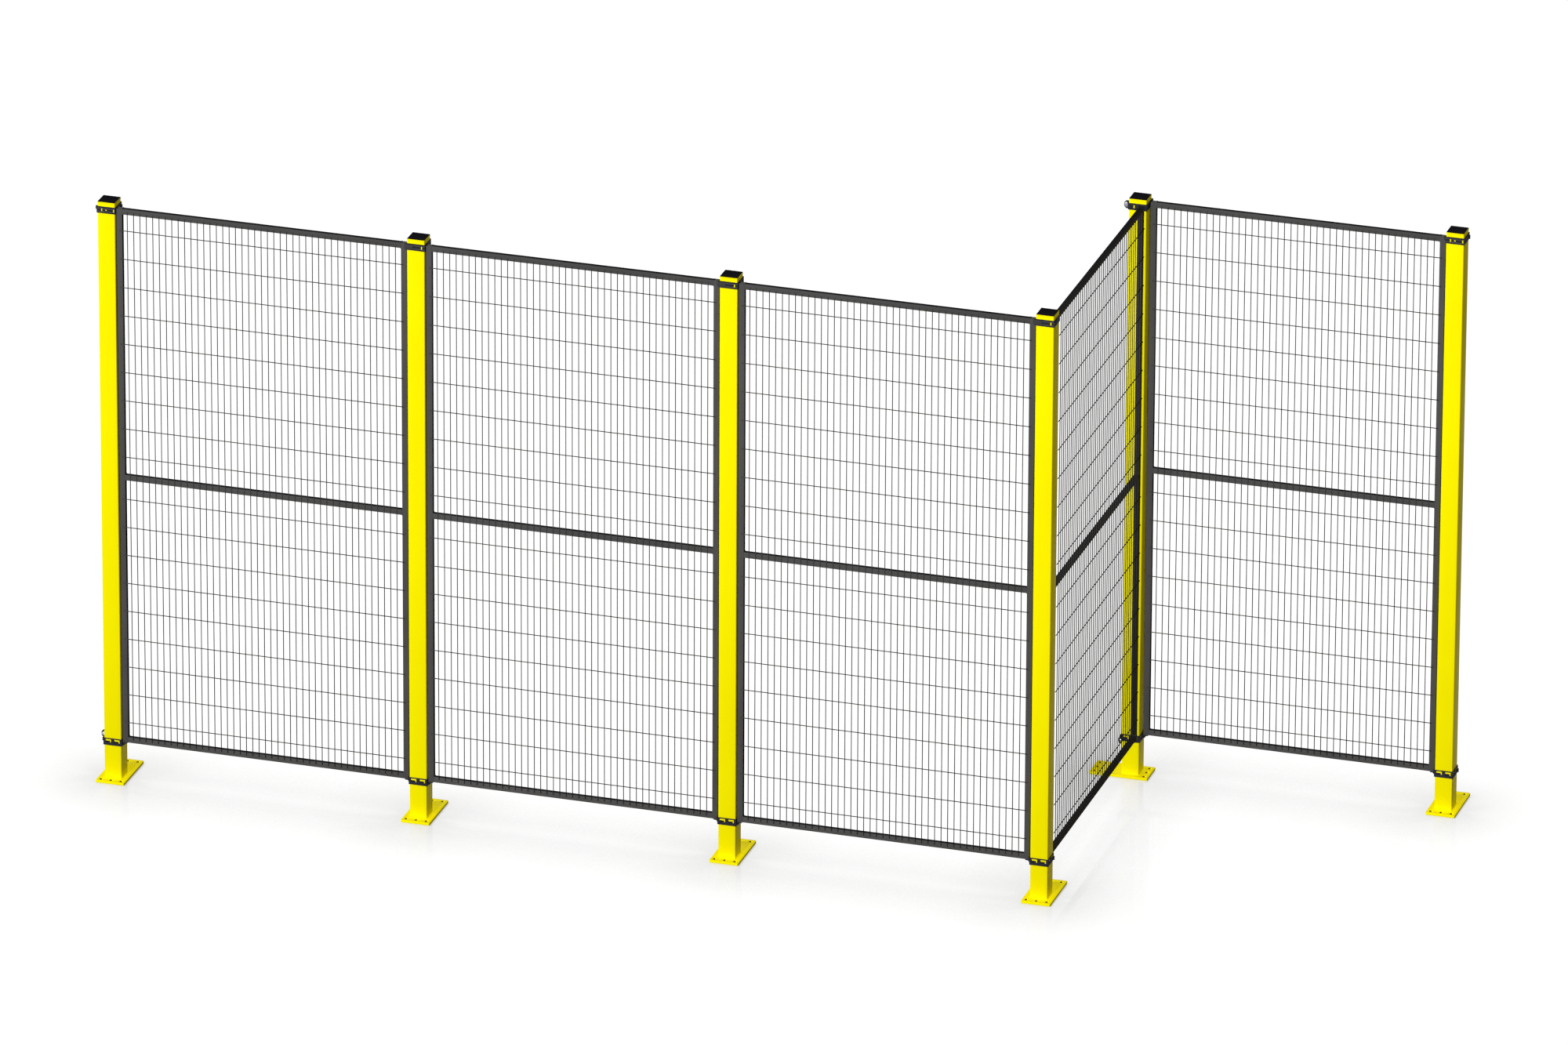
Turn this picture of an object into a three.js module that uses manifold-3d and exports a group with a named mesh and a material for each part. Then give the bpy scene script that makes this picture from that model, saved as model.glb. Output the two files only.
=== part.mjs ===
// Wire mesh partition: six floor-standing posts carry five framed mesh panels round two corners.
// Millimetres, +Z up. Every post is drawn about its own axis, x to the right and y to the rear.
// Every panel is drawn from the lower left corner of its frame, x along it and y to the rear.

import * as THREE from 'three';
import { mergeVertices } from 'three/addons/utils/BufferGeometryUtils.js';
import Module from 'manifold-3d';

// Panel frame: welded square-cut tube, its stiles open at both ends
const panelWidth = 1000;
const panelHeight = 1900;
const floorClearance = 139;
const frameFace = 20;
const frameDepth = 15;
const frameWall = 1.5;

// Mesh: upright wires against the frame, level wires outside them
const wireSize = 3;
const uprightPitch = 22;
const levelPitch = 100;
const levelFromMiddle = 75;
const wireLap = 9; // how far a wire end runs over the frame's face
const wireMargin = 5; // least space from a wire to the frame's inner edge
const layerGap = 0.2; // bridged by the weld points
const weldSize = 1;

// Posts
const postSize = 60;
const postWall = 2;
const postCorner = 2.5;
const leastCorner = 0.5; // of the tube's bore
const postAbovePanel = 14;
const capThickness = 5;
const capOverhang = 0.3;
const capSkirtDepth = 14;
const capSkirtWall = 2;

// Base plates, longer behind the post than in front of it
const plateThickness = 8;
const plateFront = 35;
const plateRear = 105;
const plateSide = 20;
const plateCorner = 4;
const anchorHole = 12;
const anchorInset = 15;
const anchorSpacing = 35;

// Clamps round the posts
const topBandHeight = 23;
const bottomBandHeight = 25;
const bandThickness = 2;
const topBandAbovePanel = 3.5;
const bottomBandAbovePanelFoot = 11.4;
const ribDepth = 1;
const ribHeight = 3;
const ribSpacing = 11;
const slotWidth = 4;
const slotHeight = 11;
const slotInset = 9.6; // slots are set in from the post's sides
const endSlotInset = 3.9;
const farSlotInset = 15;
const sideSlotInset = 12;
const rearSlotInset = 18;
const bossDiameter = 12;
const bossHole = 6;
const windowWidth = 18.6;
const windowHeight = 12;
const windowSpacing = 30;
const windowDrop = 3.6; // below the band's upper edge
const windowStrip = 6.5; // the open part above the tab
const windowLeg = 3.9; // the open part beside the tab
const tabThickness = 1;
const earThickness = 4;
const earHeight = 27;
const earCut = 6.75;
const earSpare = 8; // from the bolt's axis to the ear's end
const nubHeight = 10.5;
const nubReach = 5.5;
const lugHeight = 13;
const lugReach = 2.8; // past the band
const lugDepth = 4;

// Where the panels meet the clamps
const ledgeThickness = 3;
const ledgeReach = 5; // past the stile's middle
const gussetThickness = 4;
const gussetFoot = 3;
const pegHeight = 20;
const pegThickness = 3;
const pegLean = 5.5;
const tongueThickness = 3;
const tongueHeight = 12;
const tongueReach = 12;
const lapThickness = 2;
const lapHeight = 19;
const lapReach = 22;
const lapFoot = 8;

// Bolts
const shankDiameter = 6;
const nutWidth = 10;
const nutHeight = 5;
const headHeight = 4;
const topHead = 17;
const bottomHead = 13;
const bottomBoltOut = 22; // from the post's side to the bolt's axis

// Sides of the round shapes
const largeSides = 12;
const smallSides = 8;
const nutSides = 6;
const weldSides = 3;

// Clearances
const seatGap = 0.3; // between pieces that rest on each other
const bandClearance = 0.3;
const stileClearance = 0.7; // from a band to the panel beside it
const pegClearance = 1;
const partClearance = 0.6; // between a panel and what guards it
const skirtClearance = 0.4;
const boltClearance = 0.35;
const weldSink = 0.5; // how deep joined shapes run into each other
const overcut = 1; // how far a cutting shape runs past what it cuts

// Sizes that follow
const postHalf = postSize / 2;
const bandInner = postHalf + bandClearance;
const bandOuter = bandInner + bandThickness;
const panelGap = bandClearance + bandThickness + stileClearance;
const frameInset = 2 * wireSize + layerGap + seatGap; // brings the outer wires flush with the posts
const panelOffset = postHalf - frameInset - frameDepth / 2; // from a post's axis to the panel's middle
const postPitch = postSize + 2 * panelGap + panelWidth;
const panelTop = floorClearance + panelHeight;
const postFoot = plateThickness + seatGap;
const postTop = panelTop + postAbovePanel;
const topBandMiddle = panelTop + topBandAbovePanel - topBandHeight / 2;
const bottomBandMiddle = floorClearance + bottomBandAbovePanelFoot - bottomBandHeight / 2;
const stileMiddle = postHalf + panelGap + frameFace / 2;
const rearPlane = bandOuter - earThickness / 2;
const topBoltOut = bandOuter - postHalf + partClearance + topHead / 2;

const yellowPaint = new THREE.MeshStandardMaterial({ color: 0xfbe90a, roughness: 0.45, metalness: 0 });
const blackPaint = new THREE.MeshStandardMaterial({ color: 0x4d4c4c, roughness: 0.5, metalness: 0 });
const wirePaint = new THREE.MeshStandardMaterial({ color: 0x5c5c5c, roughness: 0.45, metalness: 0.1 });
const clampPaint = new THREE.MeshStandardMaterial({ color: 0x2c2c32, roughness: 0.6, metalness: 0 });
const capPlastic = new THREE.MeshStandardMaterial({ color: 0x17171b, roughness: 0.6, metalness: 0 });
const zinc = new THREE.MeshStandardMaterial({ color: 0xd8d9dc, roughness: 0.3, metalness: 1 });

const wasm = await Module();
wasm.setup();

// A closed geometry as a solid that can be cut and joined
function solidOf(geometry) {
  geometry.deleteAttribute('normal');
  geometry.deleteAttribute('uv');
  const welded = mergeVertices(geometry);
  return new wasm.Manifold(new wasm.Mesh({
    numProp: 3,
    vertProperties: welded.attributes.position.array,
    triVerts: Uint32Array.from(welded.index.array),
  }));
}

function meshOf(name, solid, material) {
  const { vertProperties, triVerts } = solid.getMesh();
  const geometry = new THREE.BufferGeometry();
  geometry.setAttribute('position', new THREE.BufferAttribute(vertProperties, 3));
  geometry.setIndex(new THREE.BufferAttribute(triVerts, 1));
  geometry.computeVertexNormals();
  const mesh = new THREE.Mesh(geometry, material);
  mesh.name = name;
  return mesh;
}

const joined = (solids) => solids.reduce((whole, part) => whole.add(part));

const around = (middle, width) => [middle - width / 2, middle + width / 2];

// A box from three spans
function block(x, y, z) {
  const geometry = new THREE.BoxGeometry(x[1] - x[0], y[1] - y[0], z[1] - z[0]);
  geometry.translate((x[0] + x[1]) / 2, (y[0] + y[1]) / 2, (z[0] + z[1]) / 2);
  return solidOf(geometry);
}

// A square ring round a vertical axis, from its outer and inner half widths
function squareRing(outer, inner, z) {
  return block([-outer, outer], [-outer, outer], z).subtract(
    block([-inner, inner], [-inner, inner], [z[0] - overcut, z[1] + overcut]));
}

// A round or many-sided bar along y
function bar(radius, y, x, z, sides) {
  const geometry = new THREE.CylinderGeometry(radius, radius, y[1] - y[0], sides);
  geometry.translate(x, (y[0] + y[1]) / 2, z);
  return solidOf(geometry.toNonIndexed());
}

// An outline in x and z, given depth along y
function plate(outline, y) {
  const shape = new THREE.Shape(outline.map(([x, z]) => new THREE.Vector2(x, z)));
  const geometry = new THREE.ExtrudeGeometry(shape, { depth: y[1] - y[0], bevelEnabled: false });
  geometry.rotateX(Math.PI / 2);
  geometry.translate(0, y[1], 0);
  return solidOf(geometry);
}

function roundedSquare(path, halfX, halfY, radius) {
  path.absarc(halfX - radius, halfY - radius, radius, 0, Math.PI / 2);
  path.absarc(radius - halfX, halfY - radius, radius, Math.PI / 2, Math.PI);
  path.absarc(radius - halfX, radius - halfY, radius, Math.PI, 1.5 * Math.PI);
  path.absarc(halfX - radius, radius - halfY, radius, 1.5 * Math.PI, 2 * Math.PI);
  path.closePath();
  return path;
}

function holePath(x, y, radius, sides) {
  const points = [];
  for (let i = 0; i < sides; i += 1) {
    const angle = (2 * Math.PI * i) / sides;
    points.push(new THREE.Vector2(x + radius * Math.cos(angle), y + radius * Math.sin(angle)));
  }
  return new THREE.Path(points);
}

const turned = (solid, degrees) => solid.rotate([0, 0, degrees]);

function mirrored(solid, side) {
  return side > 0 ? solid : solid.mirror([1, 0, 0]);
}

// ---- Post pieces ----

function basePlate() {
  const halfX = postHalf + plateSide;
  const halfY = (postSize + plateFront + plateRear) / 2;
  const shape = roundedSquare(new THREE.Shape(), halfX, halfY, plateCorner);
  for (const edge of [-1, 1]) {
    for (const column of [-1, 0, 1]) {
      shape.holes.push(holePath(column * anchorSpacing, edge * (halfY - anchorInset), anchorHole / 2,
        smallSides));
    }
  }
  const geometry = new THREE.ExtrudeGeometry(shape, {
    depth: plateThickness, bevelEnabled: false, curveSegments: 1,
  });
  geometry.translate(0, (plateRear - plateFront) / 2, 0);
  return solidOf(geometry);
}

function postTube() {
  const shape = roundedSquare(new THREE.Shape(), postHalf, postHalf, postCorner);
  const boreHalf = postHalf - postWall;
  const boreCorner = Math.max(postCorner - postWall, leastCorner);
  shape.holes.push(roundedSquare(new THREE.Path(), boreHalf, boreHalf, boreCorner));
  const geometry = new THREE.ExtrudeGeometry(shape, {
    depth: postTop - postFoot, bevelEnabled: false, curveSegments: 1,
  });
  geometry.translate(0, 0, postFoot);
  return solidOf(geometry);
}

// A flat lid with a skirt that plugs the tube
function postCap() {
  const lidHalf = postHalf + capOverhang;
  const lidFoot = postTop + seatGap;
  const skirtHalf = postHalf - postWall - skirtClearance;
  const lid = block([-lidHalf, lidHalf], [-lidHalf, lidHalf], [lidFoot, lidFoot + capThickness]);
  const skirtSpan = [lidFoot - capSkirtDepth, lidFoot + weldSink];
  const skirt = squareRing(skirtHalf, skirtHalf - capSkirtWall, skirtSpan);
  return lid.add(skirt);
}

// ---- Clamp pieces ----

// A flange beside a band with a hole for its bolt: plane is the flange's middle in y
function ear(side, boltOut, middle, plane) {
  const root = bandInner + bandClearance;
  const tip = postHalf + boltOut + earSpare;
  const low = middle - earHeight / 2;
  const high = middle + earHeight / 2;
  const cut = Math.min(earCut, (tip - root) / 2);
  const outline = [
    [root, low], [tip - cut, low], [tip, low + cut],
    [tip, high - cut], [tip - cut, high], [root, high],
  ];
  const span = around(plane, earThickness + 2 * overcut);
  const hole = bar(shankDiameter / 2 + boltClearance, span, postHalf + boltOut, middle, smallSides);
  return mirrored(plate(outline, around(plane, earThickness)).subtract(hole), side);
}

// A small lug at the front left corner, clear of the panel beside it
function nub(low) {
  const stileFront = -panelOffset - frameDepth / 2;
  return block([-postHalf - nubReach, -bandOuter + weldSink], [-bandOuter, stileFront - partClearance],
    [low, low + nubHeight]);
}

// A smaller lug low at the rear right corner
function lug(low) {
  return block([bandOuter - weldSink, bandOuter + lugReach], [bandOuter - lugDepth, bandOuter],
    [low, low + lugHeight]);
}

// Ribs across the front, slots on every side and, on an end post, a boss with a hole and a lug
function ribbedBand(middle, slots, hasBoss, hasNub) {
  const face = [-bandOuter - ribDepth, -bandOuter + weldSink];
  const front = [face[0] - overcut, overcut - bandInner];
  const rear = [bandInner - overcut, bandOuter + overcut];
  const across = [-bandOuter - overcut, bandOuter + overcut];
  const slotSpan = around(middle, slotHeight);
  const [foot, top] = around(middle, topBandHeight);
  const solids = [squareRing(bandOuter, bandInner, [foot, top])];
  for (const rib of [-1, 1]) {
    const ribSpan = around(middle + (rib * ribSpacing) / 2, ribHeight);
    solids.push(block([-bandOuter, bandOuter], face, ribSpan));
  }
  if (hasBoss) solids.push(bar(bossDiameter / 2, face, 0, middle, largeSides), lug(foot));
  if (hasNub) solids.push(nub(top - nubHeight));
  const cuts = slots.map((x) => block(around(x, slotWidth), front, slotSpan));
  if (hasBoss) cuts.push(bar(bossHole / 2, front, 0, middle, smallSides));
  for (const side of [-1, 1]) {
    const sideSlot = around(side * (postHalf - sideSlotInset), slotWidth);
    const rearSlot = around(side * (postHalf - rearSlotInset), slotWidth);
    cuts.push(block(across, sideSlot, slotSpan), block(rearSlot, rear, slotSpan));
  }
  return joined(solids).subtract(joined(cuts));
}

// The space round the set-back tab of one window in the front of a band
function windowCut(x, top) {
  const [left, right] = around(x, windowWidth);
  const low = top - windowHeight;
  const shallow = [-bandOuter - overcut, -bandInner - tabThickness];
  const through = [shallow[0], overcut - bandInner];
  return joined([
    block([left, right], shallow, [low, top]),
    block([left, right], through, [top - windowStrip, top]),
    block([right - windowLeg, right], through, [low, top]),
  ]);
}

// Two windows in front and in each side
function windowBand(middle) {
  const [foot, top] = around(middle, bottomBandHeight);
  const band = squareRing(bandOuter, bandInner, [foot, top]);
  const pair = joined([-1, 1].map((side) => windowCut((side * windowSpacing) / 2, top - windowDrop)));
  const cuts = joined([-90, 0, 90].map((turn) => turned(pair, turn)));
  return joined([band, nub(top - nubHeight), lug(foot)]).subtract(cuts);
}

// The ledge that a stile stands on, its gusset, and the leaning peg that enters the stile's open end
function panelSeat({ side, turn, offset }) {
  const top = floorClearance - seatGap;
  const foot = top - ledgeThickness;
  const root = bandInner + weldSink; // as deep as a window's tab
  const bandFoot = bottomBandMiddle - bottomBandHeight / 2;
  const ledge = block([root, stileMiddle + ledgeReach], around(offset, frameDepth), [foot, top]);
  const gusset = plate([
    [root, bandFoot], [bandOuter + gussetFoot, bandFoot], [stileMiddle, foot],
    [stileMiddle, top], [root, top],
  ], around(offset, gussetThickness));
  const [inner, outer] = around(stileMiddle, pegThickness);
  const tip = top + pegHeight;
  const pegWidth = frameDepth - 2 * frameWall - 2 * pegClearance;
  const peg = plate([
    [inner, foot], [outer, foot], [outer + pegLean, tip], [inner + pegLean, tip],
  ], around(offset, pegWidth));
  return turned(mirrored(joined([ledge, gusset, peg]), side), turn);
}

// The tongue behind a stile's head
function panelStop({ side, turn, offset }) {
  const front = offset + frameDepth / 2 + partClearance;
  const reach = [bandOuter - weldSink, postHalf + panelGap + tongueReach];
  const tongue = block(reach, [front, front + tongueThickness], around(topBandMiddle, tongueHeight));
  return turned(mirrored(tongue, side), turn);
}

function topClamp(post) {
  let slots = [postHalf - slotInset];
  if (post.boss) slots = [farSlotInset - postHalf, postHalf - endSlotInset];
  const band = ribbedBand(topBandMiddle, slots, post.boss, post.nub);
  const boltEar = ear(1, topBoltOut, topBandMiddle, post.earPlane);
  return joined([
    turned(band, post.topTurn), turned(boltEar, post.earTurn), ...post.panels.map(panelStop),
  ]);
}

function bottomClamp(post) {
  const band = windowBand(bottomBandMiddle)
    .add(ear(-1, bottomBoltOut, bottomBandMiddle, rearPlane));
  return joined([turned(band, post.bottomTurn), ...post.panels.map(panelSeat)]);
}

// A bolt through an ear, its nut drawn up behind: side says which end of y holds the head
function bolt(x, z, headDiameter, side, plane) {
  const grip = earThickness / 2 + seatGap;
  const ends = (near, far) => [plane + near, plane + far].sort((a, b) => a - b);
  return joined([
    bar(headDiameter / 2, ends(-side * grip, -side * (grip + headHeight)), x, z, largeSides),
    bar(shankDiameter / 2, ends(-side * (grip + weldSink), side * (grip + nutHeight + weldSink)),
      x, z, smallSides),
    bar(nutWidth / Math.sqrt(3), ends(side * grip, side * (grip + nutHeight)), x, z, nutSides),
  ]);
}

// ---- Panel pieces ----

// The bent plate on the right stile that laps in front of the next post's clamp
function lapPlate() {
  const bandFront = -frameInset - bandClearance - bandThickness - ribDepth;
  const back = bandFront - partClearance;
  const span = around(topBandMiddle - floorClearance, lapHeight);
  const web = [panelWidth - lapThickness, panelWidth];
  const foot = [panelWidth - lapFoot, panelWidth];
  return joined([
    block(foot, [-lapThickness, frameWall - weldSink], [span[0], panelHeight]),
    block(web, [back - lapThickness, 0], span),
    block([web[0], panelWidth + panelGap + lapReach], [back - lapThickness, back], span),
  ]);
}

function panelFrame(hasLap) {
  const outside = [0, frameDepth];
  const inside = [frameWall, frameDepth - frameWall];
  const upright = [0, panelHeight];
  const stileBore = [-overcut, panelHeight + overcut];
  const level = [frameFace - weldSink, panelWidth - frameFace + weldSink];
  const railBore = [frameFace / 2, panelWidth - frameFace / 2];
  const solids = hasLap ? [lapPlate()] : [];
  const bores = [];
  for (const left of [0, panelWidth - frameFace]) {
    solids.push(block([left, left + frameFace], outside, upright));
    bores.push(block([left + frameWall, left + frameFace - frameWall], inside, stileBore));
  }
  for (const low of [0, panelHeight - frameFace]) {
    solids.push(block(level, outside, [low, low + frameFace]));
    bores.push(block(railBore, inside, [low + frameWall, low + frameFace - frameWall]));
  }
  return joined(solids).subtract(joined(bores));
}

function midRail() {
  const x = [frameFace + seatGap, panelWidth - frameFace - seatGap];
  const z = around(panelHeight / 2, frameFace);
  const inside = [frameWall, frameDepth - frameWall];
  const bore = block([x[0] - overcut, x[1] + overcut], inside, [z[0] + frameWall, z[1] - frameWall]);
  return block(x, [0, frameDepth], z).subtract(bore);
}

// Wire places, counted out from the middle of the panel
function uprights() {
  const places = [];
  const steps = Math.floor((panelWidth / 2 - frameFace - wireMargin) / uprightPitch);
  for (let k = -steps; k <= steps; k += 1) places.push(panelWidth / 2 + k * uprightPitch);
  return places;
}

function levels() {
  const places = [];
  const room = panelHeight / 2 - frameFace - wireMargin;
  for (let away = levelFromMiddle; away <= room; away += levelPitch) {
    places.push(panelHeight / 2 - away, panelHeight / 2 + away);
  }
  return places.sort((a, b) => a - b);
}

// The whole mesh as one welded body: weld points hang every upright on the top wire
// and every other level wire on the first upright
function wireMesh() {
  const uprightY = [-seatGap - wireSize, -seatGap];
  const levelY = [uprightY[0] - layerGap - wireSize, uprightY[0] - layerGap];
  const upright = [frameFace - wireLap, panelHeight - frameFace + wireLap];
  const level = [frameFace - wireLap, panelWidth - frameFace + wireLap];
  const columns = uprights();
  const rows = levels();
  const top = rows[rows.length - 1];
  const solids = [];
  for (const x of columns) solids.push(block(around(x, wireSize), uprightY, upright));
  for (const z of rows) solids.push(block(level, levelY, around(z, wireSize)));
  const weldSpan = [levelY[1] - weldSink, uprightY[0] + weldSink];
  const weld = (x, z) => bar(weldSize, weldSpan, x, z, weldSides);
  for (const x of columns) solids.push(weld(x, top));
  for (const z of rows.slice(0, -1)) solids.push(weld(columns[0], z));
  return wasm.Manifold.union(solids);
}

// ---- Layout ----

// Each post's place, how its plate and clamps are turned, and the panel ends that it holds
const before = { side: -1, turn: 0, offset: -panelOffset };
const after = { side: 1, turn: 0, offset: -panelOffset };
const cornerAfter = { side: 1, turn: 90, offset: -panelOffset };
const cornerBefore = { side: -1, turn: 90, offset: -panelOffset };
const rearAfter = { side: 1, turn: 0, offset: panelOffset };
const plain = {
  plateTurn: 0, topTurn: 0, bottomTurn: 0, boss: false, nub: false, earTurn: 90, earPlane: rearPlane,
};
const end = { ...plain, boss: true, nub: true };
const returnY = postPitch;
const lastY = postPitch + 2 * panelOffset;
const posts = [
  { ...end, x: 0, y: 0, panels: [after] },
  { ...plain, x: postPitch, y: 0, panels: [before, after] },
  { ...plain, x: 2 * postPitch, y: 0, panels: [before, after] },
  { ...plain, x: 3 * postPitch, y: 0, panels: [before, cornerAfter] },
  {
    ...plain, x: 3 * postPitch, y: returnY, panels: [cornerBefore, rearAfter],
    plateTurn: 90, topTurn: 180, bottomTurn: 90, nub: true, earTurn: 180, earPlane: panelOffset,
  },
  { ...end, x: 4 * postPitch, y: lastY, panels: [before] },
];

const rowY = frameInset - postHalf;
const rowX = postHalf + panelGap;
const panels = [
  { letter: 'a', x: rowX, y: rowY, turn: 0, lap: true },
  { letter: 'b', x: postPitch + rowX, y: rowY, turn: 0, lap: true },
  { letter: 'c', x: 2 * postPitch + rowX, y: rowY, turn: 0, lap: true },
  { letter: 'd', x: 3 * postPitch - rowY, y: rowX, turn: Math.PI / 2, lap: false },
  { letter: 'e', x: 3 * postPitch + rowX, y: lastY + rowY, turn: 0, lap: false },
];

const partition = new THREE.Group();

posts.forEach((post, i) => {
  const number = i + 1;
  const group = new THREE.Group();
  group.position.set(post.x, post.y, 0);
  const topBolt = bolt(postHalf + topBoltOut, topBandMiddle, topHead, -1, post.earPlane);
  const bottomBolt = bolt(-postHalf - bottomBoltOut, bottomBandMiddle, bottomHead, 1, rearPlane);
  group.add(
    meshOf(`base_plate_${number}`, turned(basePlate(), post.plateTurn), yellowPaint),
    meshOf(`post_${number}`, postTube(), yellowPaint),
    meshOf(`post_cap_${number}`, postCap(), capPlastic),
    meshOf(`top_clamp_${number}`, topClamp(post), clampPaint),
    meshOf(`top_clamp_bolt_${number}`, turned(topBolt, post.earTurn), zinc),
    meshOf(`bottom_clamp_${number}`, bottomClamp(post), clampPaint),
    meshOf(`bottom_clamp_bolt_${number}`, turned(bottomBolt, post.bottomTurn), zinc),
  );
  partition.add(group);
});

for (const panel of panels) {
  const group = new THREE.Group();
  group.position.set(panel.x, panel.y, floorClearance);
  group.rotation.z = panel.turn;
  group.add(
    meshOf(`panel_${panel.letter}_frame`, panelFrame(panel.lap), blackPaint),
    meshOf(`panel_${panel.letter}_mid_rail`, midRail(), blackPaint),
    meshOf(`panel_${panel.letter}_mesh`, wireMesh(), wirePaint),
  );
  partition.add(group);
}

// The origin is on the floor, in the middle of the whole partition's box
const box = new THREE.Box3().setFromObject(partition);
const middle = box.getCenter(new THREE.Vector3());
partition.position.set(-middle.x, -middle.y, -box.min.z);

export default partition;
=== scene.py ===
import math

import bmesh
import bpy
from mathutils import Matrix, Vector


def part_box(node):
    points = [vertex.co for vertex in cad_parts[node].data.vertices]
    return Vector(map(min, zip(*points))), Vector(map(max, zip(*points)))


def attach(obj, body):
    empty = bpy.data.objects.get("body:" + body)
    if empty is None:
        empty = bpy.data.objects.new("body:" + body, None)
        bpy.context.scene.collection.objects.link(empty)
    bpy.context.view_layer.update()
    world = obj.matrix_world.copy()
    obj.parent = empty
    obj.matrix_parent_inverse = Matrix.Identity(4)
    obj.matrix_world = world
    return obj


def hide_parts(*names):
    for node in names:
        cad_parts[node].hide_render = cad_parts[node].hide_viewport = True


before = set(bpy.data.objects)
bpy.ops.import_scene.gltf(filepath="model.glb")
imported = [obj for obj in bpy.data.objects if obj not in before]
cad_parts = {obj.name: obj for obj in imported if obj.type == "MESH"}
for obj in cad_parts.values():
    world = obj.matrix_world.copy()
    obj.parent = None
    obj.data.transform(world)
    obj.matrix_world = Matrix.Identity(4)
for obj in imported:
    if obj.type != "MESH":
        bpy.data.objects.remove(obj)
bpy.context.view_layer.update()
mm = 0.001
postCount = 6
panelLetters = "abcde"
print("frame loaded:", len(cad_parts), "nodes")


# small helpers

def linear(red, green, blue):
    # screen colour, 0 to 255, as the linear colour that a shader takes
    values = []
    for value in (red, green, blue):
        share = value / 255
        values.append(share / 12.92 if share <= 0.04045 else ((share + 0.055) / 1.055) ** 2.4)
    return (*values, 1.0)


def addNode(tree, kind, inputs=None, **settings):
    # inputs takes sockets to link from, or plain values, by socket name or number
    node = tree.nodes.new(kind)
    for key, value in settings.items():
        setattr(node, key, value)
    for key, value in (inputs or {}).items():
        if isinstance(value, bpy.types.NodeSocket):
            tree.links.new(value, node.inputs[key])
        else:
            node.inputs[key].default_value = value
    return node


def maths(tree, operation, first, second=0.0, third=0.0):
    return addNode(tree, "ShaderNodeMath", {0: first, 1: second, 2: third}, operation=operation).outputs[0]


def mapped(tree, value, fromMin=0.0, fromMax=1.0, toMin=0.0, toMax=1.0, **settings):
    return addNode(tree, "ShaderNodeMapRange", {
        "Value": value, "From Min": fromMin, "From Max": fromMax, "To Min": toMin, "To Max": toMax},
        **settings).outputs["Result"]


def linkedObject(name, mesh):
    piece = bpy.data.objects.new(name, mesh)
    bpy.context.scene.collection.objects.link(piece)
    return piece


def plainPiece(source, name):
    # what the modifiers make of an object, as a plain mesh object; the source goes
    depsgraph = bpy.context.evaluated_depsgraph_get()
    mesh = bpy.data.meshes.new_from_object(source.evaluated_get(depsgraph))
    bpy.data.objects.remove(source)
    mesh.name = name
    return linkedObject(name, mesh)


def meshFrom(name, build):
    mesh = bpy.data.meshes.new(name)
    work = bmesh.new()
    build(work)
    bmesh.ops.recalc_face_normals(work, faces=work.faces)
    work.to_mesh(mesh)
    work.free()
    return mesh


def dress(piece, body, material, nodes=()):
    # the material, the body it rides on and the CAD nodes it stands for
    piece.data.materials.clear()
    piece.data.materials.append(material)
    for polygon in piece.data.polygons:
        polygon.material_index = 0
    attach(piece, body)
    if nodes:
        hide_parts(*nodes)
    return piece


def smoothed(piece, angle):
    # smooth all over, but for the edges sharper than the angle in degrees
    piece.data.polygons.foreach_set("use_smooth", [True] * len(piece.data.polygons))
    piece.data.set_sharp_from_angle(angle=math.radians(angle))
    return piece


def eased(name, mesh, width, segments=2, angle=35):
    # rounds the sharp edges, and marks the faces of the rounding in the attribute "edge"
    mesh.materials.clear()
    mesh.materials.append(None)
    mesh.materials.append(None)  # taken by the rounded edges
    work = linkedObject(name + "Work", mesh)
    bevel = work.modifiers.new("ease", "BEVEL")
    bevel.width = width
    bevel.segments = segments
    bevel.limit_method = "ANGLE"
    bevel.angle_limit = math.radians(angle)
    bevel.material = 1
    piece = plainPiece(work, name)
    edge = piece.data.attributes.new("edge", "FLOAT", "FACE")
    edge.data.foreach_set("value", [float(p.material_index == 1) for p in piece.data.polygons])
    return smoothed(piece, angle)


nodeCleaning = {"merge": 0.01 * mm, "flatAngle": math.radians(0.5)}


def nodeMesh(name):
    # a merged copy of a CAD node's mesh, its flat faces whole again
    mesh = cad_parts[name].data.copy()
    work = bmesh.new()
    work.from_mesh(mesh)
    bmesh.ops.remove_doubles(work, verts=work.verts, dist=nodeCleaning["merge"])
    bmesh.ops.dissolve_limit(work, angle_limit=nodeCleaning["flatAngle"], verts=work.verts,
                             edges=work.edges)
    work.to_mesh(mesh)
    work.free()
    return mesh


def roundedLoop(halfX, halfY, radius, steps=6):
    points = []
    for corner, (signX, signY) in enumerate([(1, 1), (-1, 1), (-1, -1), (1, -1)]):
        for step in range(steps + 1):
            angle = math.pi / 2 * (corner + step / steps)
            points.append((signX * (halfX - radius) + radius * math.cos(angle),
                           signY * (halfY - radius) + radius * math.sin(angle)))
    return points


def circleLoop(x, y, radius, steps=28):
    return [(x + radius * math.cos(2 * math.pi * i / steps), y + radius * math.sin(2 * math.pi * i / steps))
            for i in range(steps)]


def solidFromLoops(work, loops, low, high, place=Matrix()):
    # a flat plate with holes: the first loop is its outline
    edges = []
    for loop in loops:
        corners = [work.verts.new(place @ Vector((x, y, low))) for x, y in loop]
        edges += [work.edges.new((corners[i - 1], corners[i])) for i in range(len(corners))]
    faces = bmesh.ops.triangle_fill(work, edges=edges, use_beauty=True)["geom"]
    faces = [item for item in faces if isinstance(item, bmesh.types.BMFace)]
    raised = bmesh.ops.extrude_face_region(work, geom=faces)["geom"]
    lift = place.to_3x3() @ Vector((0, 0, high - low))
    bmesh.ops.translate(work, vec=lift, verts=[v for v in raised if isinstance(v, bmesh.types.BMVert)])


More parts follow.
